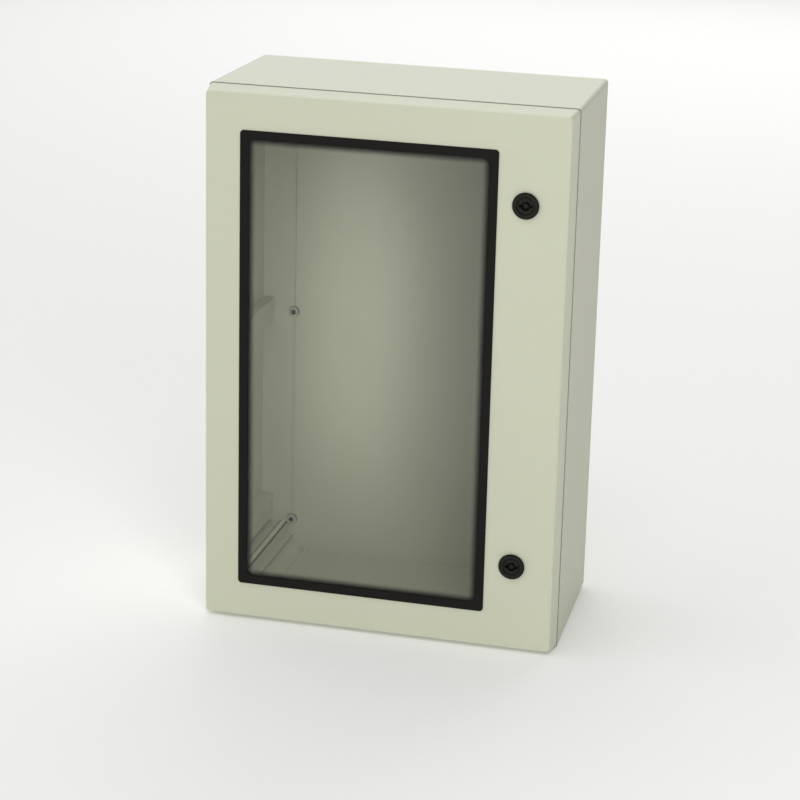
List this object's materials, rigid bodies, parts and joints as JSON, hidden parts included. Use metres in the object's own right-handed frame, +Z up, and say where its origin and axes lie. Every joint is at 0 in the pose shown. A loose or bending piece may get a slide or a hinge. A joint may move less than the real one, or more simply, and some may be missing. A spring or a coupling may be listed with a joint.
{
  "type": "electrical enclosure",
  "caption": "Moulded wall cabinet for electrical gear with a glazed side-hinged door, quarter-turn key locks and bosses for a mounting plate inside.",
  "frame": {"origin": "under the middle of the cabinet, level with its lowest edge", "axes": "+X to the right seen from the front, +Y from the door to the back wall, +Z up"},
  "size_m": [0.4037, 0.2132, 0.6],
  "materials": {
    "shell": "fine satin moulding",
    "glazing": "clear",
    "rubber": "soft matt",
    "foam": "foamed",
    "lock": "satin black",
    "steel": "zinc plated"
  },
  "bodies": {
    "cabinet": {"cabinet_body": "shell", "plate_inserts": "steel", "hinge_pin_upper": "steel", "hinge_pin_middle": "steel", "hinge_pin_lower": "steel"},
    "door": {"door_frame": "shell", "door_seal": "foam", "window_pane": "glazing", "window_gasket": "rubber", "upper_lock_housing": "lock", "upper_lock_seal": "rubber", "upper_lock_nut": "steel", "lower_lock_housing": "lock", "lower_lock_seal": "rubber", "lower_lock_nut": "steel"},
    "upper_lock": {"upper_lock_core": "lock", "upper_lock_clip": "steel", "upper_lock_cam": "steel", "upper_cam_washer": "steel", "upper_cam_screw": "steel"},
    "lower_lock": {"lower_lock_core": "lock", "lower_lock_clip": "steel", "lower_lock_cam": "steel", "lower_cam_washer": "steel", "lower_cam_screw": "steel"}
  },
  "joints": [
    {"name": "door_hinge", "type": "hinge", "parent": "cabinet", "child": "door", "pos_m": [-0.2004, -0.0794, 0.3], "axis": [0, 0, -1], "range_deg": [0, 180]},
    {"name": "upper_lock_turn", "type": "hinge", "parent": "door", "child": "upper_lock", "pos_m": [0.151, -0.105, 0.5], "axis": [0, -1, 0], "range_deg": [0, 90]},
    {"name": "lower_lock_turn", "type": "hinge", "parent": "door", "child": "lower_lock", "pos_m": [0.151, -0.105, 0.1], "axis": [0, -1, 0], "range_deg": [0, 90]}
  ]
}
